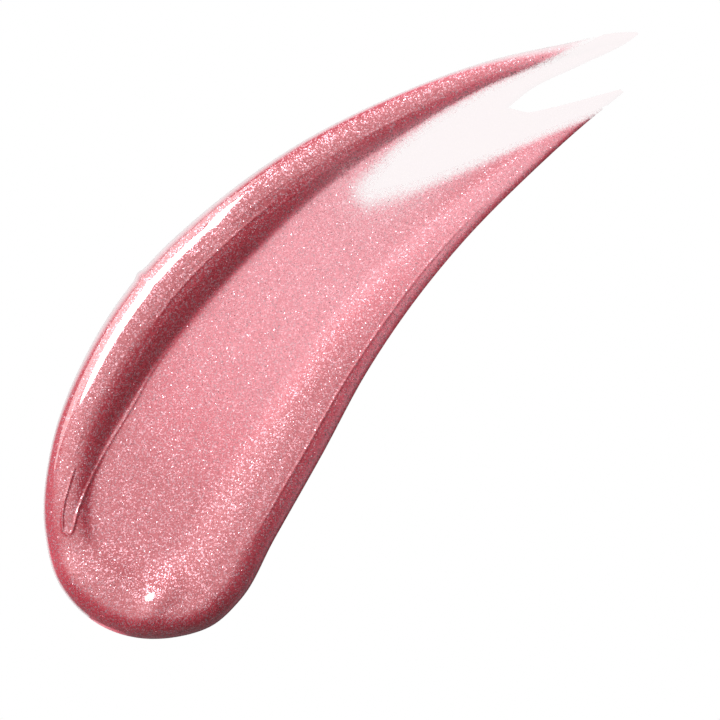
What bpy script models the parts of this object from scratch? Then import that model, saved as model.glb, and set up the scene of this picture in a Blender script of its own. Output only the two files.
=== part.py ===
"""Lip gloss smear: one stroke of pearl gloss, drawn from a round head out to a forked tail.

The smear lies flat. Its thick round head is at -X and its two thin tail tips are at +X. A tall bead
runs along the left (+Y) side and a narrow one along the right (-Y) side, with a shallow trough
between them. In the tail the pearl gloss forks into two streaks. A thin clear film fills the fork
and runs on past both streaks as two tips of its own.

Lengths are in millimetres until the meshes are made, which are in metres, +Z up, lying on Z = 0.
The origin is the middle of the smear's footprint, on the surface it lies on.
"""

import bmesh
import bpy
import numpy as np

MM = 0.001

# Outline of the whole smear, from the middle of the head's round end to each tail tip.
HEAD_END = (-24.95, -2.0)
LEFT_EDGE = [
    (-24.35, 0.95), (-22.3, 3.6), (-18.0, 6.45), (-12.0, 8.3), (-6.0, 8.75),
    (0.0, 7.85), (6.0, 6.1), (12.0, 3.35), (18.0, -0.35), (22.0, -3.65), (24.3, -5.6), (24.95, -6.4),
]
RIGHT_EDGE = [
    (-24.2, -4.9), (-22.4, -7.15), (-20.6, -8.35), (-18.2, -8.75), (-14.0, -8.1),
    (-8.0, -7.2), (-2.0, -6.2), (3.0, -5.85), (8.0, -5.95), (14.0, -6.65), (18.5, -7.42), (21.5, -8.1),
]

# Edges of the notch between the film's two tips, from its root outward.
FORK_LEFT = [(16.3, -3.0), (18.0, -3.4), (21.0, -4.85), (24.4, -6.45), (24.95, -6.6)]
FORK_RIGHT = [(16.3, -3.0), (16.8, -4.1), (18.0, -5.15), (21.5, -7.8)]

# Inner edges of the two pearl streaks, from the root of the gloss's own fork to past their ends.
STREAK_LEFT = [
    (7.0, 0.6), (8.5, 0.6), (10.0, 0.5), (12.0, 0.05),
    (16.0, -1.4), (20.0, -3.4), (24.0, -5.0),
]
STREAK_RIGHT = [
    (7.0, 0.6), (8.0, -0.35), (9.0, -1.15), (11.0, -2.45),
    (13.0, -3.6), (17.0, -5.9), (21.0, -8.25),
]

FILM_GAP = 0.3             # between the gloss and the film, measured square to their edges
STREAK_END_WIDTH = 0.3     # the streaks stop where they get this narrow

# Heights above the surface, each keyed by its place along the smear: (x, height).
EDGE_HEIGHT = 0.12
FLOOR_HEIGHT = [
    (-25, 0.95), (-19, 0.75), (-12, 0.5), (-4, 0.38), (4, 0.25), (10, 0.18), (17, 0.14), (25, 0.1),
]
LEFT_CREST = [
    (-25, 0.2), (-23, 0.8), (-21, 1.1), (-18, 1.25), (-14, 1.45), (-8, 1.5),
    (0, 1.25), (6, 0.9), (12, 0.57), (18, 0.34), (22, 0.2), (25, 0.13),
]
RIGHT_CREST = [
    (-25, 1.1), (-21.5, 1.35), (-18, 1.05), (-12, 0.8), (-4, 0.6),
    (0, 0.48), (4, 0.36), (10, 0.25), (16, 0.19), (21, 0.14),
]

# Distances in from the outline, keyed the same way. A crest is a bead's top and a foot is where
# its inner slope has run out.
FLOOR_RIM = [(-25, 1.8), (-14, 2.4), (0, 2.1), (8, 1.2), (14, 0.6), (20, 0.3)]
LEFT_CREST_INSET = [
    (-25, 1.5), (-18, 1.6), (-12, 1.8), (-6, 1.9), (-2, 1.95), (-0.8, 1.95), (0.2, 1.55),
    (6, 1.3), (12, 1.0), (18, 0.6), (25, 0.4),
]
LEFT_FOOT_INSET = [
    (-25, 2.6), (-21.5, 2.7), (-18, 2.9), (-12, 3.8), (-6, 4.25),
    (0, 3.85), (6, 3.1), (12, 2.25), (18, 1.3), (25, 0.8),
]
RIGHT_CREST_INSET = [
    (-25, 1.7), (-21.5, 1.9), (-17, 2.4), (-6, 2.2),
    (0, 2.0), (6, 1.6), (12, 1.1), (20, 0.6),
]
RIGHT_FOOT_INSET = [
    (-25, 4.6), (-21.5, 5.2), (-17, 5.2), (-6, 4.5),
    (0, 3.9), (6, 3.2), (12, 2.2), (20, 1.0),
]
BEAD_CURVE = 2.3           # how fast the left bead's inner side steepens toward its foot
FOOT_FILLET = 0.3

# Mesh spacing.
HEAD_LENGTH = 9.0          # rows bunch up toward the head's round end over this length
ROW_STEP = 0.7
GLOSS_COLUMNS = 13         # columns from the middle to each side
FILM_COLUMNS = 5
CURVE_SAMPLES = 16         # straight pieces between two points of a curve
EDGE_BUNCHING = 0.55       # how far the columns crowd toward the edges, 0 to 1


def remove_existing_objects():
    for old in list(bpy.data.objects):
        bpy.data.objects.remove(old, do_unlink=True)


def smooth_curve(points):
    """A cubic curve through the points, as a fine polyline."""
    points = np.array(points, float)
    chords = np.linalg.norm(np.diff(points, axis=0), axis=1)
    knots = np.concatenate([[0.0], np.cumsum(chords)])
    slopes = np.gradient(points, knots, axis=0)
    steps = np.linspace(0.0, 1.0, CURVE_SAMPLES, endpoint=False)[:, None]
    line = []
    for i, chord in enumerate(chords):
        start = (1 + 2 * steps) * (1 - steps) ** 2 * points[i]
        end = steps ** 2 * (3 - 2 * steps) * points[i + 1]
        start_pull = steps * (1 - steps) ** 2 * chord * slopes[i]
        end_pull = steps ** 2 * (steps - 1) * chord * slopes[i + 1]
        line.append(start + end + start_pull + end_pull)
    line.append(points[-1:])
    return np.vstack(line)


def keyed(x, keys):
    """Value at x of a smooth curve through (x, value) keys, held level past the ends."""
    line = smooth_curve(keys)
    return np.interp(x, line[:, 0], line[:, 1])


def distance_to(points, line):
    """Shortest distance from each point to a polyline."""
    starts = line[:-1]
    runs = np.diff(line, axis=0)
    along = ((points[:, None] - starts) * runs).sum(axis=2) / (runs ** 2).sum(axis=1)
    nearest = starts + np.clip(along, 0.0, 1.0)[:, :, None] * runs
    return np.linalg.norm(points[:, None] - nearest, axis=2).min(axis=1)


def rounded_rise(distance, width):
    """A quarter round: 0 at the edge, 1 from `width` inward."""
    return np.sqrt(1.0 - (1.0 - np.clip(distance / width, 0.0, 1.0)) ** 2)


def tapered_rise(distance, width):
    """0 at the edge, rising fast and then more and more slowly to 1 from `width` inward."""
    return 1.0 - (1.0 - np.clip(distance / width, 0.0, 1.0)) ** 3


def bead(distance, crest, foot):
    """Cross-section of a bead: up from the edge to 1 at its crest, then gently down to 0 at its foot."""
    slope = np.clip((distance - crest) / (foot - crest), 0.0, 1.0)
    return tapered_rise(distance, crest) * 0.5 * (1.0 + np.cos(np.pi * slope))


def outline_edges():
    """The left and right edges of the smear, both from the outermost point of its head."""
    line = smooth_curve(LEFT_EDGE[::-1] + [HEAD_END] + RIGHT_EDGE)
    head = int(np.argmin(line[:, 0]))
    return line[head::-1], line[head:]


LEFT_LINE, RIGHT_LINE = outline_edges()
FORK_LEFT_LINE = smooth_curve(FORK_LEFT)
FORK_RIGHT_LINE = smooth_curve(FORK_RIGHT)
STREAK_LEFT_LINE = smooth_curve(STREAK_LEFT)
STREAK_RIGHT_LINE = smooth_curve(STREAK_RIGHT)


def level(line, x):
    """Y of an edge line at x."""
    return np.interp(x, line[:, 0], line[:, 1])


def smooth_maximum(a, b, softness):
    """The larger of two heights, with a rounded blend where they cross."""
    return 0.5 * (a + b + np.sqrt((a - b) ** 2 + softness ** 2) - softness)


def left_bead_height(distance, x):
    """A bead with a round outer side and an inner side that steepens down to a crease."""
    crest = keyed(x, LEFT_CREST)
    inset = keyed(x, LEFT_CREST_INSET)
    outer = EDGE_HEIGHT + (crest - EDGE_HEIGHT) * rounded_rise(distance, inset)
    slope = np.clip((distance - inset) / (keyed(x, LEFT_FOOT_INSET) - inset), 0.0, 2.0)
    return outer - np.maximum(crest - keyed(x, FLOOR_HEIGHT), 0.2) * slope ** BEAD_CURVE


def surface_height(points):
    """Height of the smear's upper surface over each point."""
    x = points[:, 0]
    to_left = distance_to(points, LEFT_LINE)
    to_right = distance_to(points, RIGHT_LINE)
    to_fork = np.minimum(distance_to(points, FORK_LEFT_LINE), distance_to(points, FORK_RIGHT_LINE))
    to_outline = np.minimum(np.minimum(to_left, to_right), to_fork)
    floor = keyed(x, FLOOR_HEIGHT)
    height = EDGE_HEIGHT + (floor - EDGE_HEIGHT) * tapered_rise(to_outline, keyed(x, FLOOR_RIM))
    right_bead = bead(to_right, keyed(x, RIGHT_CREST_INSET), keyed(x, RIGHT_FOOT_INSET))
    height += (keyed(x, RIGHT_CREST) - floor) * right_bead
    softness = FOOT_FILLET * np.clip(to_outline / 2.0, 0.02, 1.0) * np.clip((floor - 0.1) / 0.3, 0.1, 1.0)
    return np.maximum(smooth_maximum(left_bead_height(to_left, x), height, softness), EDGE_HEIGHT)


def gloss_edges(x):
    """Y of the gloss's edges at x: right side, right side of its fork, left side of its fork, left side."""
    return (
        level(RIGHT_LINE, x), level(STREAK_RIGHT_LINE, x),
        level(STREAK_LEFT_LINE, x), level(LEFT_LINE, x),
    )


def square_gap(line, x):
    """Y distance that leaves the film's gap square to a sloping edge."""
    return FILM_GAP * np.hypot(1.0, np.gradient(level(line, x), x))


def film_edges(x):
    """Y of the film's edges at x, in the same order. It widens to the outline past each streak."""
    right = level(STREAK_RIGHT_LINE, x) + square_gap(STREAK_RIGHT_LINE, x)
    left = level(STREAK_LEFT_LINE, x) - square_gap(STREAK_LEFT_LINE, x)
    return (
        np.maximum(right, level(RIGHT_LINE, x)), level(FORK_RIGHT_LINE, x),
        level(FORK_LEFT_LINE, x), np.minimum(left, level(LEFT_LINE, x)),
    )


def first_x(condition, start, end):
    """The first x in a run from start to end where the condition holds."""
    x = np.linspace(start, end, 2001)
    return x[np.argmax(condition(x))]


def rows_between(start, end):
    return np.linspace(start, end, 1 + round((end - start) / ROW_STEP))


def column_places(columns):
    """Places from 0 to 1 across a strip, closer together toward both sides."""
    even = np.linspace(0.0, 1.0, columns + 1)
    bunched = 0.5 - 0.5 * np.cos(np.pi * even)
    return even + EDGE_BUNCHING * (bunched - even)


def strip(x, low, high, places):
    """Grid of points with one row at each x, from low to high across."""
    y = low[:, None] + (high - low)[:, None] * places
    return np.dstack([np.broadcast_to(x[:, None], y.shape), y])


def add_grid(mesh, grid, first_row=None):
    """Adds a grid's upper surface to a bmesh and returns its rows of vertices."""
    height = surface_height(grid.reshape(-1, 2)).reshape(grid.shape[:2])
    rows = [] if first_row is None else [first_row]
    for row, row_height in zip(grid[len(rows):], height[len(rows):]):
        rows.append([mesh.verts.new((x * MM, y * MM, z * MM)) for (x, y), z in zip(row, row_height)])
    for near, far in zip(rows, rows[1:]):
        for i in range(len(near) - 1):
            mesh.faces.new((near[i], far[i], far[i + 1], near[i + 1]))
    return rows


def forked_solid(name, material, edges, trunk_x, left_end, right_end, columns):
    """A solid lying on Z = 0: one trunk that splits into a left and a right prong at its last row."""
    root_x = trunk_x[-1]
    places = column_places(2 * columns)
    prong_places = places[:columns + 1] / places[columns]
    right, _, _, left = edges(trunk_x)
    trunk = strip(trunk_x, right, left, places)
    mesh = bmesh.new()
    last_row = add_grid(mesh, trunk)[-1]
    fork_y = edges(rows_between(root_x, right_end))[1][0]
    for vertex, place in zip(last_row, places):
        side = (left if place > places[columns] else right)[-1]
        reach = abs(place - places[columns]) / places[columns]
        y = fork_y + reach * (side - fork_y)
        vertex.co = (root_x * MM, y * MM, surface_height(np.array([[root_x, y]]))[0] * MM)
    left_x = rows_between(root_x, left_end)
    _, _, fork_left, left = edges(left_x)
    add_grid(mesh, strip(left_x, fork_left, left, 1.0 - prong_places[::-1]), last_row[columns:])
    right_x = rows_between(root_x, right_end)
    right, fork_right, _, _ = edges(right_x)
    add_grid(mesh, strip(right_x, right, fork_right, prong_places), last_row[:columns + 1])
    add_base(mesh)
    return make_object(name, mesh, material)


def add_base(mesh):
    """Closes an upper surface into a solid with upright edges and a flat base on Z = 0."""
    extruded = bmesh.ops.extrude_face_region(mesh, geom=mesh.faces[:])
    for item in extruded["geom"]:
        if isinstance(item, bmesh.types.BMVert):
            item.co.z = 0.0
    bmesh.ops.recalc_face_normals(mesh, faces=mesh.faces[:])


def make_object(name, mesh, material):
    data = bpy.data.meshes.new(name)
    mesh.to_mesh(data)
    mesh.free()
    data.materials.append(material)
    data.shade_smooth()
    data.set_sharp_from_angle(angle=np.radians(50.0))
    item = bpy.data.objects.new(name, data)
    bpy.context.scene.collection.objects.link(item)
    return item


def principled(name, colour, roughness, coat):
    material = bpy.data.materials.new(name)
    material.use_nodes = True
    shader = material.node_tree.nodes["Principled BSDF"]
    shader.inputs["Base Color"].default_value = (*colour, 1.0)
    shader.inputs["Roughness"].default_value = roughness
    shader.inputs["Metallic"].default_value = 0.0
    shader.inputs["Coat Weight"].default_value = coat
    return material


def make_gloss_body():
    """The thick pearl gloss, with its head, both beads, the trough and the two streaks."""
    head_x = LEFT_LINE[0, 0]
    root_x = STREAK_LEFT[0][0]
    head_rows = round(2.0 * HEAD_LENGTH / ROW_STEP)
    bunched = (np.arange(head_rows) + 0.25) / head_rows
    head = head_x + HEAD_LENGTH * bunched ** 2
    trunk_x = np.concatenate([head, rows_between(head_x + HEAD_LENGTH, root_x)])
    left_end = first_x(
        lambda x: gloss_edges(x)[3] - gloss_edges(x)[2] < STREAK_END_WIDTH, root_x, LEFT_LINE[-1, 0]
    )
    right_end = first_x(
        lambda x: gloss_edges(x)[1] - gloss_edges(x)[0] < STREAK_END_WIDTH, root_x, RIGHT_LINE[-1, 0]
    )
    gloss = principled("pearl_gloss", (0.60, 0.19, 0.225), roughness=0.3, coat=1.0)
    return forked_solid("gloss_body", gloss, gloss_edges, trunk_x, left_end, right_end, GLOSS_COLUMNS)


def make_tail_film():
    """The thin clear film that fills the gloss's fork and ends in two tips."""
    start_x = first_x(
        lambda x: film_edges(x)[3] - film_edges(x)[0] > 2.0 * FILM_GAP, STREAK_LEFT[0][0], FORK_LEFT[0][0]
    )
    trunk_x = rows_between(start_x, FORK_LEFT[0][0])
    film = principled("clear_film", (0.98, 0.88, 0.89), roughness=0.12, coat=0.5)
    return forked_solid(
        "tail_film", film, film_edges, trunk_x, FORK_LEFT[-1][0], FORK_RIGHT[-1][0], FILM_COLUMNS
    )


def build():
    remove_existing_objects()
    make_gloss_body()
    make_tail_film()


build()
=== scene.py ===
"""Looks of the lip gloss smear: a fine skin of pearl gloss, the clear tail film and loose pearl flakes.

The skins follow the same curves and heights as the CAD solids, at a finer spacing, and add what is too
small for them: the lap at the head, the ridge along the right edge, drag lines, a nick and soft waves.
Lengths are in millimetres until a mesh is made. Left is +Y and right is -Y, looking down the smear
from its head at -X to its tail at +X.
"""

import math

import bmesh
import bpy
import numpy as np
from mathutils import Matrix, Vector, noise


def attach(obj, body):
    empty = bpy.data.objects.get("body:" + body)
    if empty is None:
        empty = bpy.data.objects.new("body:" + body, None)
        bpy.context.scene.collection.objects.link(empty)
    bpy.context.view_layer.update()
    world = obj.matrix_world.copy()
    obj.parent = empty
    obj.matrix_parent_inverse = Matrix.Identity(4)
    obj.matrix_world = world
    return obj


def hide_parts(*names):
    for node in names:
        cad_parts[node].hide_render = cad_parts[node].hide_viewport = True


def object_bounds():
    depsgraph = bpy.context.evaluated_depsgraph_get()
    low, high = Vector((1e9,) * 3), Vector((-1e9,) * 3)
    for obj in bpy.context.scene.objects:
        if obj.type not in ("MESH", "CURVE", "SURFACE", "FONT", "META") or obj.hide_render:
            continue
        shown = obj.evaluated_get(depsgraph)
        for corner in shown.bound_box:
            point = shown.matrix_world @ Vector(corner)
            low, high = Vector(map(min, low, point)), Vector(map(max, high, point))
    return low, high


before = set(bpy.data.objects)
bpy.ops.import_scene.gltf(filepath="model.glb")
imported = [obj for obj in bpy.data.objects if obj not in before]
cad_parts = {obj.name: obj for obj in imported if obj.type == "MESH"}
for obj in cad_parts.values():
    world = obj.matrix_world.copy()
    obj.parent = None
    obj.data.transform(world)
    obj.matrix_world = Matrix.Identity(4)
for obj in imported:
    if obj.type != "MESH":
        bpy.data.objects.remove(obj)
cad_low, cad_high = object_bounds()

MM = 0.001

# ---------------------------------------------------------------- driving curves, as in the CAD model
HEAD_END = (-24.95, -2.0)
LEFT_EDGE = [
    (-24.35, 0.95), (-22.3, 3.6), (-18.0, 6.45), (-12.0, 8.3), (-6.0, 8.75),
    (0.0, 7.85), (6.0, 6.1), (12.0, 3.35), (18.0, -0.35), (22.0, -3.65), (24.3, -5.6), (24.95, -6.4),
]
RIGHT_EDGE = [
    (-24.2, -4.9), (-22.4, -7.15), (-20.6, -8.35), (-18.2, -8.75), (-14.0, -8.1),
    (-8.0, -7.2), (-2.0, -6.2), (3.0, -5.85), (8.0, -5.95), (14.0, -6.65), (18.5, -7.42), (21.5, -8.1),
]
FORK_LEFT = [(16.3, -3.0), (18.0, -3.4), (21.0, -4.85), (24.4, -6.45), (24.95, -6.6)]
FORK_RIGHT = [(16.3, -3.0), (16.8, -4.1), (18.0, -5.15), (21.5, -7.8)]
STREAK_LEFT = [
    (7.0, 0.6), (8.5, 0.6), (10.0, 0.5), (12.0, 0.05),
    (16.0, -1.4), (20.0, -3.4), (24.0, -5.0),
]
STREAK_RIGHT = [
    (7.0, 0.6), (8.0, -0.35), (9.0, -1.15), (11.0, -2.45),
    (13.0, -3.6), (17.0, -5.9), (21.0, -8.25),
]
STREAK_END_WIDTH = 0.12

# Heights, each keyed by its place along the smear: (x, height).
EDGE_HEIGHT = 0.06
FLOOR_HEIGHT = [
    (-25, 0.95), (-19, 0.75), (-12, 0.5), (-4, 0.38), (4, 0.25), (10, 0.18), (17, 0.14), (25, 0.1),
]
LEFT_CREST = [
    (-25, 0.2), (-23, 0.8), (-21, 1.1), (-18, 1.25), (-14, 1.45), (-8, 1.5),
    (0, 1.25), (6, 0.9), (12, 0.57), (18, 0.34), (22, 0.2), (25, 0.13),
]
RIGHT_CREST = [
    (-25, 1.1), (-21.5, 1.35), (-18, 1.05), (-12, 0.8), (-4, 0.6),
    (0, 0.48), (4, 0.36), (10, 0.25), (16, 0.19), (21, 0.14),
]

# Distances in from the outline, keyed the same way.
FLOOR_RIM = [(-25, 1.8), (-14, 2.4), (0, 2.1), (8, 1.2), (14, 0.6), (20, 0.3)]
LEFT_CREST_INSET = [
    (-25, 1.5), (-18, 1.6), (-12, 1.8), (-6, 1.9), (-2, 1.95), (-0.8, 1.95), (0.2, 1.55),
    (6, 1.3), (12, 1.0), (18, 0.6), (25, 0.4),
]
LEFT_FOOT_INSET = [
    (-25, 2.6), (-21.5, 2.7), (-18, 2.9), (-12, 3.8), (-6, 4.25),
    (0, 3.85), (6, 3.1), (12, 2.25), (18, 1.3), (25, 0.8),
]
RIGHT_CREST_INSET = [
    (-25, 1.7), (-21.5, 1.9), (-17, 2.4), (-6, 2.2),
    (0, 2.0), (6, 1.6), (12, 1.1), (20, 0.6),
]
RIGHT_FOOT_INSET = [
    (-25, 4.6), (-21.5, 5.2), (-17, 5.2), (-6, 4.5),
    (0, 3.9), (6, 3.2), (12, 2.2), (20, 1.0),
]
BEAD_CURVE = 2.3           # how fast the left bead's inner side steepens toward its foot
LEAST_BEAD_DROP = 0.2      # the left bead's inner side falls at least this far
FOOT_FILLET = 0.3

# ---------------------------------------------------------------- fine surface detail
# A lip runs along the foot of the left bead and turns back round a small tongue in the head.
LIP_LINE = [
    (-18.2, 4.4), (-19.2, 4.02), (-20.2, 3.6), (-21.1, 3.05),
    (-21.6, 2.5), (-21.4, 2.15), (-20.9, 2.28), (-20.16, 2.6),
    (-18.55, 3.08), (-16.63, 3.52), (-14.85, 3.78), (-13.16, 3.96), (-10.0, 4.4), (-7.0, 4.35),
]
LIP_HEIGHT = [(-22, 0.075), (-19.5, 0.065), (-17, 0.045), (-13, 0.032), (-7, 0.0)]
LIP_WIDTH = 0.08

# A fine ridge follows the right edge: its distance in from the edge and its height along the smear.
RIDGE_INSET = [(-15, 1.15), (-6, 1.0), (0, 0.8), (6, 0.75), (13, 0.6)]
RIDGE_HEIGHT = [(-15, 0.0), (-11, 0.03), (-3, 0.033), (3, 0.022), (7, 0.018), (12, 0.0)]
RIDGE_WIDTH = 0.09

# Drag lines on the left bead: start x, end x, distance in from the left edge at each, height.
DRAG_LINES = [
    (-8.4, 2.9, 2.7, 2.25, 0.022), (-16.5, -9.0, 1.9, 2.3, 0.010), (-12.0, -2.0, 3.15, 3.1, 0.012),
    (-5.0, 6.0, 1.75, 1.6, 0.010), (-14.0, -7.5, 2.75, 3.3, 0.009), (0.0, 9.0, 2.9, 2.1, 0.010),
    (-19.0, -12.0, 1.5, 2.0, 0.010), (-10.0, 0.5, 2.2, 2.0, 0.008), (3.0, 13.0, 1.9, 1.4, 0.008),
]
DRAG_WIDTH = 0.09
DRAG_FADE = 1.5

# A soft swelling in the head, whose left side catches the light.
SWELL_PLACE = (-21.0, -4.75)
SWELL_SIZE = (2.5, 0.85)
SWELL_HEIGHT = 0.175

NICK_X = -6.1
NICK_REACH = 0.16          # how far a small nick stands out of the left edge
NICK_LENGTH = 0.28
WAVE_HEIGHT = 0.012
WAVE_LENGTH = (3.4, 1.5)
WAVE_FADE = 1.0            # the waves die out over this distance from the outline
# Width of the pale skirt along the left edge: thin clear gloss, lightened further by painted light on this
# lit side.
SKIRT_WIDTH = [
    (-25, 0.18), (-17, 0.22), (-11, 0.42), (-5, 0.52),
    (1, 0.42), (8, 0.26), (16, 0.25), (22, 0.7),
]

# ---------------------------------------------------------------- mesh spacing
HEAD_LENGTH = 9.0
ROW_STEP = 0.2
GLOSS_COLUMNS = 140
FILM_COLUMNS = 30
CURVE_SAMPLES = 24
EDGE_BUNCHING = 0.35
POINTS_AT_ONCE = 4000
SEARCH_STEPS = 2001
SHARP_ANGLE = 60.0
FILM_LAP = 0.05            # the film starts this far past the root of the gloss's fork


def smooth_curve(points):
    """A cubic curve through the points, as a fine polyline."""
    points = np.array(points, float)
    chords = np.linalg.norm(np.diff(points, axis=0), axis=1)
    knots = np.concatenate([[0.0], np.cumsum(chords)])
    slopes = np.gradient(points, knots, axis=0)
    steps = np.linspace(0.0, 1.0, CURVE_SAMPLES, endpoint=False)[:, None]
    line = []
    for i, chord in enumerate(chords):
        start = (1 + 2 * steps) * (1 - steps) ** 2 * points[i]
        end = steps ** 2 * (3 - 2 * steps) * points[i + 1]
        start_pull = steps * (1 - steps) ** 2 * chord * slopes[i]
        end_pull = steps ** 2 * (steps - 1) * chord * slopes[i + 1]
        line.append(start + end + start_pull + end_pull)
    line.append(points[-1:])
    return np.vstack(line)


def keyed(x, keys):
    """Value at x of a smooth curve through (x, value) keys, held level past the ends."""
    line = smooth_curve(keys)
    return np.interp(x, line[:, 0], line[:, 1])


def distance_to(points, line):
    """Shortest distance from each point to a polyline."""
    starts = line[:-1]
    runs = np.diff(line, axis=0)
    squares = (runs ** 2).sum(axis=1)
    parts = []
    for first in range(0, len(points), POINTS_AT_ONCE):
        some = points[first:first + POINTS_AT_ONCE, None]
        along = np.clip(((some - starts) * runs).sum(axis=2) / squares, 0.0, 1.0)
        parts.append(np.linalg.norm(some - starts - along[:, :, None] * runs, axis=2).min(axis=1))
    return np.concatenate(parts)


def rounded_rise(distance, width):
    """A quarter round: 0 at the edge, 1 from `width` inward."""
    return np.sqrt(1.0 - (1.0 - np.clip(distance / width, 0.0, 1.0)) ** 2)


def tapered_rise(distance, width):
    """0 at the edge, rising fast and then more and more slowly to 1 from `width` inward."""
    return 1.0 - (1.0 - np.clip(distance / width, 0.0, 1.0)) ** 3


def bead(distance, crest, foot):
    """Cross-section of a bead: up from the edge to 1 at its crest, then gently down to 0 at its foot."""
    slope = np.clip((distance - crest) / (foot - crest), 0.0, 1.0)
    return tapered_rise(distance, crest) * 0.5 * (1.0 + np.cos(np.pi * slope))


def outline_edges():
    """The left and right edges of the smear, both from the outermost point of its head."""
    line = smooth_curve(LEFT_EDGE[::-1] + [HEAD_END] + RIGHT_EDGE)
    head = int(np.argmin(line[:, 0]))
    return line[head::-1], line[head:]


LEFT_LINE, RIGHT_LINE = outline_edges()
LEFT_LINE[:, 1] += NICK_REACH * np.exp(-((LEFT_LINE[:, 0] - NICK_X) / NICK_LENGTH) ** 2)
FORK_LEFT_LINE = smooth_curve(FORK_LEFT)
FORK_RIGHT_LINE = smooth_curve(FORK_RIGHT)
STREAK_LEFT_LINE = smooth_curve(STREAK_LEFT)
STREAK_RIGHT_LINE = smooth_curve(STREAK_RIGHT)


def level(line, x):
    """Y of an edge line at x."""
    return np.interp(x, line[:, 0], line[:, 1])


def smooth_maximum(a, b, softness):
    """The larger of two heights, with a rounded blend where they cross."""
    return 0.5 * (a + b + np.sqrt((a - b) ** 2 + softness ** 2) - softness)


def left_bead_height(distance, x):
    """A bead with a round outer side and an inner side that steepens down to a crease."""
    crest = keyed(x, LEFT_CREST)
    inset = keyed(x, LEFT_CREST_INSET)
    outer = EDGE_HEIGHT + (crest - EDGE_HEIGHT) * rounded_rise(distance, inset)
    slope = np.clip((distance - inset) / (keyed(x, LEFT_FOOT_INSET) - inset), 0.0, 2.0)
    return outer - np.maximum(crest - keyed(x, FLOOR_HEIGHT), LEAST_BEAD_DROP) * slope ** BEAD_CURVE


def ridge(distance, width):
    """Cross-section of a fine ridge: 1 along its line, 0 well away from it."""
    return np.exp(-(distance / width) ** 2)


def fine_detail(points, to_left, to_right):
    """The lip, the right edge's ridge, the drag lines and the swelling in the head."""
    x = points[:, 0]
    height = keyed(x, LIP_HEIGHT) * ridge(distance_to(points, smooth_curve(LIP_LINE)), LIP_WIDTH)
    height += keyed(x, RIDGE_HEIGHT) * ridge(to_right - keyed(x, RIDGE_INSET), RIDGE_WIDTH)
    for start, end, start_inset, end_inset, line_height in DRAG_LINES:
        inset = np.interp(x, (start, end), (start_inset, end_inset))
        fade = np.clip((x - start) / DRAG_FADE, 0.0, 1.0) * np.clip((end - x) / DRAG_FADE, 0.0, 1.0)
        height += line_height * fade * ridge(to_left - inset, DRAG_WIDTH)
    swell = np.hypot(*((points - SWELL_PLACE) / SWELL_SIZE).T)
    return height + SWELL_HEIGHT * ridge(swell, 1.0)


def surface_height(points):
    """Height of the smear's upper surface over each point."""
    x = points[:, 0]
    to_left = distance_to(points, LEFT_LINE)
    to_right = distance_to(points, RIGHT_LINE)
    to_fork = np.minimum(distance_to(points, FORK_LEFT_LINE), distance_to(points, FORK_RIGHT_LINE))
    to_outline = np.minimum(np.minimum(to_left, to_right), to_fork)
    floor = keyed(x, FLOOR_HEIGHT)
    height = EDGE_HEIGHT + (floor - EDGE_HEIGHT) * tapered_rise(to_outline, keyed(x, FLOOR_RIM))
    right_bead = bead(to_right, keyed(x, RIGHT_CREST_INSET), keyed(x, RIGHT_FOOT_INSET))
    height += (keyed(x, RIGHT_CREST) - floor) * right_bead
    softness = FOOT_FILLET * np.clip(to_outline / 2.0, 0.02, 1.0) * np.clip((floor - 0.1) / 0.3, 0.1, 1.0)
    height = np.maximum(smooth_maximum(left_bead_height(to_left, x), height, softness), EDGE_HEIGHT)
    inside = np.clip(to_outline / WAVE_FADE, 0.0, 1.0)
    waves = [noise.noise((px / WAVE_LENGTH[0], py / WAVE_LENGTH[1], 0.0)) for px, py in points]
    return height + fine_detail(points, to_left, to_right) + WAVE_HEIGHT * inside * np.array(waves)


# Pearl runs out quickly at the clear film, and thins over a longer way before it.
PIGMENT_FADE = [(3, 2.4), (7, 1.5), (9, 1.1), (13, 0.85), (20, 0.65), (25, 0.5)]
THIN_WIDTH = [(3, 5.0), (7, 3.4), (10, 1.8), (13, 1.0), (25, 0.5)]
THIN_SHARE = 0.45          # share of the pearl lost by thinning, just before it runs out


def pigment_amount(points):
    """How much pearl the gloss holds: 1 in the body, fading to 0 at the clear film."""
    x, y = points.T
    to_seam = np.minimum(distance_to(points, STREAK_LEFT_LINE), distance_to(points, STREAK_RIGHT_LINE))
    between = (y < level(STREAK_LEFT_LINE, x)) & (y > level(STREAK_RIGHT_LINE, x))
    inside_fork = (x > STREAK_LEFT[0][0]) & between
    fade = np.clip(to_seam / keyed(x, PIGMENT_FADE), 0.0, 1.0)
    thinning = 1.0 - THIN_SHARE * (1.0 - np.clip(to_seam / keyed(x, THIN_WIDTH), 0.0, 1.0))
    return np.where(inside_fork, 0.0, thinning * fade * fade * (3.0 - 2.0 * fade))


def rim_and_sheen_amount(points):
    """1 at the left edge, where the gloss thins to a pale rim that is also lightened by painted light on
    this lit side, falling to 0 at the skirt's inner side.
    """
    skirt = np.clip(distance_to(points, LEFT_LINE) / keyed(points[:, 0], SKIRT_WIDTH), 0.0, 1.0)
    return 1.0 - skirt * skirt * (3.0 - 2.0 * skirt)


def gloss_edges(x):
    """Y of the gloss's edges at x: right side, right side of its fork, left side of its fork, left side."""
    return (
        level(RIGHT_LINE, x), level(STREAK_RIGHT_LINE, x),
        level(STREAK_LEFT_LINE, x), level(LEFT_LINE, x),
    )


def film_edges(x):
    """Y of the film's edges at x, in the same order. It meets the gloss and widens past each streak."""
    return (
        np.maximum(level(STREAK_RIGHT_LINE, x), level(RIGHT_LINE, x)), level(FORK_RIGHT_LINE, x),
        level(FORK_LEFT_LINE, x), np.minimum(level(STREAK_LEFT_LINE, x), level(LEFT_LINE, x)),
    )


def first_x(condition, start, end):
    """The first x in a run from start to end where the condition holds."""
    x = np.linspace(start, end, SEARCH_STEPS)
    return x[np.argmax(condition(x))]


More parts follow.
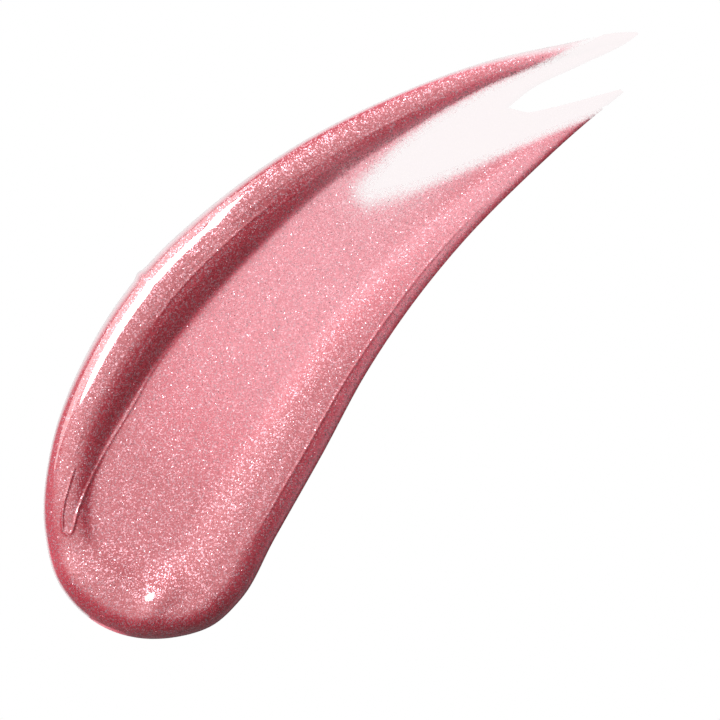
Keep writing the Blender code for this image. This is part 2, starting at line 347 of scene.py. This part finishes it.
def rows_between(start, end):
    return np.linspace(start, end, 1 + round((end - start) / ROW_STEP))


def column_places(columns):
    """Places from 0 to 1 across a strip, closer together toward both sides."""
    even = np.linspace(0.0, 1.0, columns + 1)
    bunched = 0.5 - 0.5 * np.cos(np.pi * even)
    return even + EDGE_BUNCHING * (bunched - even)


def strip(x, low, high, places):
    """Grid of points with one row at each x, from low to high across."""
    y = low[:, None] + (high - low)[:, None] * places
    return np.dstack([np.broadcast_to(x[:, None], y.shape), y])


def add_grid(mesh, grid, first_row=None):
    """Adds a grid's upper surface to a bmesh and returns its rows of vertices."""
    height = surface_height(grid.reshape(-1, 2)).reshape(grid.shape[:2])
    rows = [] if first_row is None else [first_row]
    for row, row_height in zip(grid[len(rows):], height[len(rows):]):
        rows.append([mesh.verts.new((x * MM, y * MM, z * MM)) for (x, y), z in zip(row, row_height)])
    for near, far in zip(rows, rows[1:]):
        for i in range(len(near) - 1):
            mesh.faces.new((near[i], far[i], far[i + 1], near[i + 1]))
    return rows


def add_base(mesh, sheets):
    """Walls and a flat base under the sheets, which share rows where they join."""
    under = {}

    def below(vertex):
        if vertex not in under:
            under[vertex] = mesh.verts.new((vertex.co.x, vertex.co.y, 0.0))
        return under[vertex]

    for rows, stops in sheets:
        for near, far in zip(rows, rows[1:]):
            for side in (0, -1):
                mesh.faces.new((near[side], below(near[side]), below(far[side]), far[side]))
            for a, b in zip(stops, stops[1:]):
                mesh.faces.new((below(near[a]), below(near[b]), below(far[b]), below(far[a])))
    ends = [(sheets[0][0][0], sheets[0][1])]
    ends += [(rows[-1], stops) for rows, stops in sheets[1:]]
    for row, stops in ends:
        mesh.faces.new([*row, *(below(row[stop]) for stop in reversed(stops))])


def forked_solid(name, edges, trunk_x, left_end, right_end, columns):
    """A solid lying on Z = 0: one trunk that splits into a left and a right prong at its last row."""
    root_x = trunk_x[-1]
    places = column_places(2 * columns)
    prong_places = places[:columns + 1] / places[columns]
    right, _, _, left = edges(trunk_x)
    mesh = bmesh.new()
    trunk = add_grid(mesh, strip(trunk_x, right, left, places))
    last_row = trunk[-1]
    fork_y = edges(rows_between(root_x, right_end))[1][0]
    row_y = []
    for place in places:
        side = (left if place > places[columns] else right)[-1]
        reach = abs(place - places[columns]) / places[columns]
        row_y.append(fork_y + reach * (side - fork_y))
    row_points = np.column_stack([np.full(len(row_y), root_x), row_y])
    for vertex, (x, y), z in zip(last_row, row_points, surface_height(row_points)):
        vertex.co = (x * MM, y * MM, z * MM)
    left_x = rows_between(root_x, left_end)
    _, _, fork_left, left = edges(left_x)
    left_grid = strip(left_x, fork_left, left, 1.0 - prong_places[::-1])
    left_prong = add_grid(mesh, left_grid, last_row[columns:])
    right_x = rows_between(root_x, right_end)
    right, fork_right, _, _ = edges(right_x)
    right_prong = add_grid(mesh, strip(right_x, right, fork_right, prong_places), last_row[:columns + 1])
    add_base(mesh, [
        (trunk, (0, columns, 2 * columns)), (left_prong, (0, columns)), (right_prong, (0, columns)),
    ])
    bmesh.ops.recalc_face_normals(mesh, faces=mesh.faces[:])
    data = bpy.data.meshes.new(name)
    mesh.to_mesh(data)
    mesh.free()
    data.shade_smooth()
    data.set_sharp_from_angle(angle=math.radians(SHARP_ANGLE))
    item = bpy.data.objects.new(name, data)
    bpy.context.scene.collection.objects.link(item)
    add_attributes(item)
    return item


def add_attributes(item):
    """Stores the depth of gloss, its share of pearl and the pale rim, which is partly painted light, on
    each vertex.

    The flat base holds no pearl, so thin gloss over it shows what it lies on.
    """
    data = item.data
    place = np.empty(len(data.vertices) * 3, np.float32)
    data.vertices.foreach_get("co", place)
    points = place.reshape(-1, 3)[:, :2].astype(float) / MM
    depth = data.attributes.new("depth", "FLOAT", "POINT")
    depth.data.foreach_set("value", surface_height(points).astype(np.float32))
    rim_and_sheen_share = rim_and_sheen_amount(points)
    pearl = pigment_amount(points)
    pearl[place.reshape(-1, 3)[:, 2] == 0.0] = 0.0
    pigment = data.attributes.new("pigment", "FLOAT", "POINT")
    pigment.data.foreach_set("value", pearl.astype(np.float32))
    rim = data.attributes.new("rim", "FLOAT", "POINT")
    rim.data.foreach_set("value", rim_and_sheen_share.astype(np.float32))


def make_gloss_skin():
    head_x = LEFT_LINE[0, 0]
    root_x = STREAK_LEFT[0][0]
    head_rows = round(2.0 * HEAD_LENGTH / ROW_STEP)
    bunched = (np.arange(head_rows) + 0.25) / head_rows
    head = head_x + HEAD_LENGTH * bunched ** 2
    trunk_x = np.concatenate([head, rows_between(head_x + HEAD_LENGTH, root_x)])
    left_end = first_x(
        lambda x: gloss_edges(x)[3] - gloss_edges(x)[2] < STREAK_END_WIDTH, root_x, LEFT_LINE[-1, 0]
    )
    right_end = first_x(
        lambda x: gloss_edges(x)[1] - gloss_edges(x)[0] < STREAK_END_WIDTH, root_x, RIGHT_LINE[-1, 0]
    )
    return forked_solid("gloss_skin", gloss_edges, trunk_x, left_end, right_end, GLOSS_COLUMNS)


def make_film_skin():
    start_x = STREAK_LEFT[0][0] + FILM_LAP
    trunk_x = rows_between(start_x, FORK_LEFT[0][0])
    return forked_solid(
        "film_skin", film_edges, trunk_x, FORK_LEFT[-1][0], FORK_RIGHT[-1][0], FILM_COLUMNS
    )


FLAKE_COUNT = 8000
FLAKE_RADIUS = (0.016, 0.036)
FLAKE_THICKNESS = 0.012
FLAKE_TILT = 0.22
FLAKE_SEED = 11
FLAKE_TRIES = 60000
FLAKE_X = (-24.8, 21.5)    # the stretch and the width that places are picked from
FLAKE_Y = (-8.8, 9.0)
FLAKE_INSET = 0.25         # no flakes this near the outline
LEAST_PEARL = 0.06         # no flakes where the gloss holds less pearl than this
SLOPE_STEP = 0.02


def make_pearl_flakes():
    """Loose six-sided pearl plates, half sunk in the gloss and leaning at random."""
    random = np.random.default_rng(FLAKE_SEED)
    tries = np.column_stack([
        random.uniform(*FLAKE_X, FLAKE_TRIES), random.uniform(*FLAKE_Y, FLAKE_TRIES),
    ])
    right, left = level(RIGHT_LINE, tries[:, 0]), level(LEFT_LINE, tries[:, 0])
    tries = tries[(tries[:, 1] > right + FLAKE_INSET) & (tries[:, 1] < left - FLAKE_INSET)]
    chance = random.uniform(LEAST_PEARL, 1.0, len(tries))
    pearl = pigment_amount(tries) * (1.0 - rim_and_sheen_amount(tries))
    tries = tries[pearl > chance][:FLAKE_COUNT]
    height = surface_height(tries)
    along = (surface_height(tries + (SLOPE_STEP, 0.0)) - height) / SLOPE_STEP
    across = (surface_height(tries + (0.0, SLOPE_STEP)) - height) / SLOPE_STEP
    up = np.column_stack([-along, -across, np.ones(len(tries))])
    up += random.normal(0.0, FLAKE_TILT, up.shape)
    up /= np.linalg.norm(up, axis=1)[:, None]
    side = np.cross(up, random.normal(0.0, 1.0, up.shape))
    side /= np.linalg.norm(side, axis=1)[:, None]
    other = np.cross(up, side)
    radius = random.uniform(*FLAKE_RADIUS, len(tries))[:, None]
    centre = np.column_stack([tries, height])
    rings = []
    for half in (-0.5, 0.5):
        for turn in np.arange(6) * math.pi / 3.0:
            reach = radius * (math.cos(turn) * side + math.sin(turn) * other)
            rings.append(centre + reach + half * FLAKE_THICKNESS * up)
    points = np.stack(rings, axis=1).reshape(-1, 3) * MM
    plate = [tuple(range(5, -1, -1)), tuple(range(6, 12))]
    plate += [(i, (i + 1) % 6, 6 + (i + 1) % 6, 6 + i) for i in range(6)]
    faces = [tuple(12 * k + i for i in face) for k in range(len(tries)) for face in plate]
    data = bpy.data.meshes.new("pearl_flakes")
    data.from_pydata(points.tolist(), [], faces)
    item = bpy.data.objects.new("pearl_flakes", data)
    bpy.context.scene.collection.objects.link(item)
    return item


# ---------------------------------------------------------------- materials
GRAIN_SIZE = 0.07
GRAIN_LEAN = 0.3           # how far each grain's facet leans at random
GRAIN_SHADE = 0.05
FLAKE_SHARE = 0.22         # share of the grains that are pearl
FLAKE_METAL = 0.45
GLOSS_ROUGHNESS = 0.5
FLAKE_ROUGHNESS_CHANGE = -0.12
COVER_STIPPLE = 0.4        # how much the grains break up the edge of the pearl
COVER_MIDDLE = 0.4         # share of pearl at which half of the grains are covered
COVER_STEEPNESS = 1.5
THICKEST = 2.0
# Colour of the pigment between the flakes by the depth of gloss: (depth, colour). The two thinnest stops
# lie mostly along the outline and are darker than the rest: painted shade on the steep outer slopes.
DEPTH_COLOURS_AND_EDGE_SHADE = [
    (0.08, (0.58, 0.055, 0.085)), (0.14, (0.80, 0.12, 0.17)), (0.2, (0.99, 0.27, 0.34)),
    (0.26, (0.97, 0.225, 0.29)), (0.33, (0.87, 0.13, 0.185)),
    (0.46, (0.68, 0.070, 0.107)), (0.9, (0.61, 0.045, 0.074)), (2.0, (0.57, 0.040, 0.067)),
]
FLAKE_COLOUR = (0.95, 0.40, 0.47)
FILM_COLOUR = (1.0, 0.46, 0.52)
FILM_ALPHA = 0.07
THIN_COLOUR = (1.0, 0.35, 0.42)
# Pale colour of the left rim: thin clear gloss, lightened as painted light along the lit edge.
PALE_RIM_AND_SHEEN_COLOUR = (1.0, 0.52, 0.59)
RIM_ALPHA = 0.3
THIN_REACH = 3.0           # how soon the colour pales as the pearl thins out


def node_tools(material):
    """Short functions that add nodes to a material: plain, linked, maths, vector and colour mix."""
    tree = material.node_tree

    def node(kind, **settings):
        made = tree.nodes.new(kind)
        for key, value in settings.items():
            setattr(made, key, value)
        return made

    def join(output, target):
        if isinstance(output, (int, float)):
            target.default_value = output
        elif isinstance(output, tuple):
            target.default_value = output if len(output) == len(target.default_value) else (*output, 1.0)
        else:
            tree.links.new(output, target)

    def maths(operation, a, b=0.0, c=0.0, clamp=False):
        made = node("ShaderNodeMath", operation=operation, use_clamp=clamp)
        for value, target in zip((a, b, c), made.inputs):
            join(value, target)
        return made.outputs[0]

    def vector(operation, a, b=(0.0, 0.0, 0.0), scale=1.0):
        made = node("ShaderNodeVectorMath", operation=operation)
        join(a, made.inputs[0])
        join(b, made.inputs[1])
        if operation == "SCALE":
            join(scale, made.inputs["Scale"])
        return made.outputs[0]

    def mix(factor, a, b):
        made = node("ShaderNodeMix", data_type="RGBA")
        join(factor, made.inputs["Factor"])
        join(a, made.inputs["A"])
        join(b, made.inputs["B"])
        return made.outputs["Result"]

    return node, join, maths, vector, mix


def pearl_gloss():
    """Wet gloss: colour by depth with painted shade at the thinnest edges, a grain of pearl facets, a fade
    to clear film and a pale left rim that is partly painted light.
    """
    material = bpy.data.materials.new("pearl_gloss")
    material.use_nodes = True
    node, join, maths, vector, mix = node_tools(material)
    shader = material.node_tree.nodes["Principled BSDF"]

    depth = node("ShaderNodeAttribute", attribute_name="depth").outputs["Fac"]
    pigment = node("ShaderNodeAttribute", attribute_name="pigment").outputs["Fac"]
    rim = node("ShaderNodeAttribute", attribute_name="rim").outputs["Fac"]
    place = node("ShaderNodeTexCoord").outputs["Object"]
    normal = node("ShaderNodeNewGeometry").outputs["Normal"]

    cells = node("ShaderNodeTexVoronoi", feature="F1", voronoi_dimensions="3D")
    join(place, cells.inputs["Vector"])
    cells.inputs["Scale"].default_value = 1.0 / (GRAIN_SIZE * MM)
    split = node("ShaderNodeSeparateColor")
    join(cells.outputs["Color"], split.inputs["Color"])
    pick, shade, stipple = split.outputs[0], split.outputs[1], split.outputs[2]

    # The ramp's thinnest stops paint shade onto the outline's outer slopes.
    tint = node("ShaderNodeValToRGB")
    ramp = tint.color_ramp
    while len(ramp.elements) < len(DEPTH_COLOURS_AND_EDGE_SHADE):
        ramp.elements.new(0.5)
    for element, (thickness, colour) in zip(ramp.elements, DEPTH_COLOURS_AND_EDGE_SHADE):
        element.position = thickness / THICKEST
        element.color = (*colour, 1.0)
    join(maths("DIVIDE", depth, THICKEST), tint.inputs["Fac"])

    flake = maths("LESS_THAN", pick, FLAKE_SHARE)
    pale = maths("MAXIMUM", flake, maths("MULTIPLY", shade, GRAIN_SHADE))
    thinned = mix(maths("POWER", pigment, THIN_REACH), THIN_COLOUR, tint.outputs["Color"])
    base = mix(pale, thinned, FLAKE_COLOUR)
    cover = maths("ADD", pigment, maths("MULTIPLY", maths("SUBTRACT", stipple, 0.5), COVER_STIPPLE))
    cover = maths("SUBTRACT", cover, COVER_MIDDLE)
    cover = maths("MULTIPLY_ADD", cover, COVER_STEEPNESS, 0.5, clamp=True)
    # The left rim is mixed toward a pale colour: partly thin gloss, partly painted light on the lit edge.
    join(mix(cover, FILM_COLOUR, mix(rim, base, PALE_RIM_AND_SHEEN_COLOUR)), shader.inputs["Base Color"])

    lean = vector("SCALE", vector("SUBTRACT", cells.outputs["Color"], (0.5, 0.5, 0.5)), scale=GRAIN_LEAN)
    tilted = vector("NORMALIZE", vector("ADD", normal, lean))
    facing = node("ShaderNodeMix", data_type="VECTOR")
    join(cover, facing.inputs["Factor"])
    join(normal, facing.inputs["A"])
    join(tilted, facing.inputs["B"])
    join(facing.outputs["Result"], shader.inputs["Normal"])

    join(maths("MULTIPLY", maths("MULTIPLY", flake, cover), FLAKE_METAL), shader.inputs["Metallic"])
    roughness = maths("MULTIPLY_ADD", flake, FLAKE_ROUGHNESS_CHANGE, GLOSS_ROUGHNESS)
    join(roughness, shader.inputs["Roughness"])
    alpha = maths("MULTIPLY_ADD", cover, 1.0 - FILM_ALPHA, FILM_ALPHA)
    clearing = maths("MULTIPLY_ADD", rim, RIM_ALPHA - 1.0, 1.0)
    join(maths("MULTIPLY", alpha, clearing), shader.inputs["Alpha"])
    shader.inputs["IOR"].default_value = 1.75
    shader.inputs["Coat IOR"].default_value = 2.0
    shader.inputs["Coat Weight"].default_value = 1.0
    shader.inputs["Coat Roughness"].default_value = 0.06
    return material


def clear_film():
    material = bpy.data.materials.new("clear_film")
    material.use_nodes = True
    shader = material.node_tree.nodes["Principled BSDF"]
    shader.inputs["Base Color"].default_value = (*FILM_COLOUR, 1.0)
    shader.inputs["Roughness"].default_value = 0.12
    shader.inputs["Alpha"].default_value = FILM_ALPHA
    return material


def pearl_flake():
    material = bpy.data.materials.new("pearl_flake")
    material.use_nodes = True
    shader = material.node_tree.nodes["Principled BSDF"]
    shader.inputs["Base Color"].default_value = (0.95, 0.60, 0.66, 1.0)
    shader.inputs["Metallic"].default_value = 0.9
    shader.inputs["Roughness"].default_value = 0.3
    return material


# ---------------------------------------------------------------- stage
FLOOR_SIZE = 2.0           # metres from its middle to each side
FLOOR_DROP = 0.00005       # metres below the smear, so the two don't share a plane
FLOOR_GLOW = 0.12          # the floor's brightness in reflections; it looks white itself
SKY_AXIS = (0.0, 0.31, 0.951)
SKY_LOW = 0.03
SKY_HIGH = 0.9
SKY_SPREAD = (0.62, 0.98)  # cosines of the angles from the axis where the glow ends and is full


def make_floor():
    data = bpy.data.meshes.new("floor")
    corners = [(x * FLOOR_SIZE, y * FLOOR_SIZE, 0.0) for x, y in ((-1, -1), (1, -1), (1, 1), (-1, 1))]
    data.from_pydata(corners, [], [(0, 1, 2, 3)])
    floor = bpy.data.objects.new("floor", data)
    floor.location.z = -FLOOR_DROP
    bpy.context.scene.collection.objects.link(floor)
    material = bpy.data.materials.new("white_floor")
    material.use_nodes = True
    shader = material.node_tree.nodes["Principled BSDF"]
    shader.inputs["Base Color"].default_value = (0.0, 0.0, 0.0, 1.0)
    shader.inputs["Specular IOR Level"].default_value = 0.0
    shader.inputs["Emission Color"].default_value = (1.0, 1.0, 1.0, 1.0)
    node, join, maths, _, _ = node_tools(material)
    seen = node("ShaderNodeLightPath").outputs["Is Camera Ray"]
    join(maths("MULTIPLY_ADD", seen, 1.0 - FLOOR_GLOW, FLOOR_GLOW), shader.inputs["Emission Strength"])
    data.materials.append(material)


def make_softbox(name, azimuth, polar, distance, size, radiance):
    """A soft elliptical light aimed at the smear.

    Azimuth is in degrees from +X toward +Y, polar in degrees from straight up, sizes in metres.
    """
    light = bpy.data.lights.new(name, "AREA")
    light.shape = "ELLIPSE"
    light.size, light.size_y = size
    light.energy = radiance * math.pi * math.pi / 4.0 * size[0] * size[1]
    item = bpy.data.objects.new(name, light)
    a, p = math.radians(azimuth), math.radians(polar)
    back = Vector((math.cos(a) * math.sin(p), math.sin(a) * math.sin(p), math.cos(p)))
    item.location = back * distance
    item.rotation_mode = "QUATERNION"
    item.rotation_quaternion = (-back).to_track_quat("-Z", "Y")
    bpy.context.scene.collection.objects.link(item)


def make_world():
    """A dark studio with one broad soft glow overhead. It looks white behind the floor."""
    world = bpy.data.worlds.new("studio")
    world.use_nodes = True
    bpy.context.scene.world = world
    tree = world.node_tree
    dim = tree.nodes["Background"]
    dim.inputs["Color"].default_value = (1.0, 1.0, 1.0, 1.0)
    place = tree.nodes.new("ShaderNodeTexCoord")
    toward = tree.nodes.new("ShaderNodeVectorMath")
    toward.operation = "DOT_PRODUCT"
    toward.inputs[1].default_value = SKY_AXIS
    tree.links.new(place.outputs["Generated"], toward.inputs[0])
    glow = tree.nodes.new("ShaderNodeMapRange")
    glow.interpolation_type = "SMOOTHSTEP"
    glow.inputs["From Min"].default_value, glow.inputs["From Max"].default_value = SKY_SPREAD
    glow.inputs["To Min"].default_value = SKY_LOW
    glow.inputs["To Max"].default_value = SKY_HIGH
    tree.links.new(toward.outputs["Value"], glow.inputs["Value"])
    tree.links.new(glow.outputs["Result"], dim.inputs["Strength"])
    seen = tree.nodes.new("ShaderNodeBackground")
    seen.inputs["Color"].default_value = (1.0, 1.0, 1.0, 1.0)
    seen.inputs["Strength"].default_value = 1.0
    ray = tree.nodes.new("ShaderNodeLightPath")
    blend = tree.nodes.new("ShaderNodeMixShader")
    tree.links.new(ray.outputs["Is Camera Ray"], blend.inputs["Fac"])
    tree.links.new(dim.outputs[0], blend.inputs[1])
    tree.links.new(seen.outputs[0], blend.inputs[2])
    tree.links.new(blend.outputs[0], tree.nodes["World Output"].inputs["Surface"])


FRAME_WIDTH = 45.0         # width of the floor that the camera takes in
LENS = 200.0
SENSOR = 36.0
AIM = (-1.83, -5.42)       # where the camera looks, from the middle of the smear
TURN = -52.0


def make_camera():
    data = bpy.data.cameras.new("camera")
    data.lens = LENS
    data.sensor_width = SENSOR
    item = bpy.data.objects.new("camera", data)
    distance = FRAME_WIDTH * MM * LENS / SENSOR
    centre = (cad_low + cad_high) / 2
    item.location = (centre.x + AIM[0] * MM, centre.y + AIM[1] * MM, distance)
    item.rotation_euler = (0.0, 0.0, math.radians(TURN))
    data.clip_start = 0.01
    bpy.context.scene.collection.objects.link(item)
    bpy.context.scene.camera = item


gloss = make_gloss_skin()
gloss.data.materials.append(pearl_gloss())
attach(gloss, "root")
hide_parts("gloss_body")

flakes = make_pearl_flakes()
flakes.data.materials.append(pearl_flake())
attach(flakes, "root")

film = make_film_skin()
film.data.materials.append(clear_film())
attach(film, "root")
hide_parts("tail_film")

make_floor()
make_world()
make_softbox("key", azimuth=93.0, polar=38.0, distance=0.6, size=(0.31, 0.28), radiance=10.0)
make_softbox("rim", azimuth=95.0, polar=66.0, distance=0.6, size=(0.6, 0.38), radiance=2.6)
make_camera()
bpy.context.scene.view_settings.view_transform = "Standard"
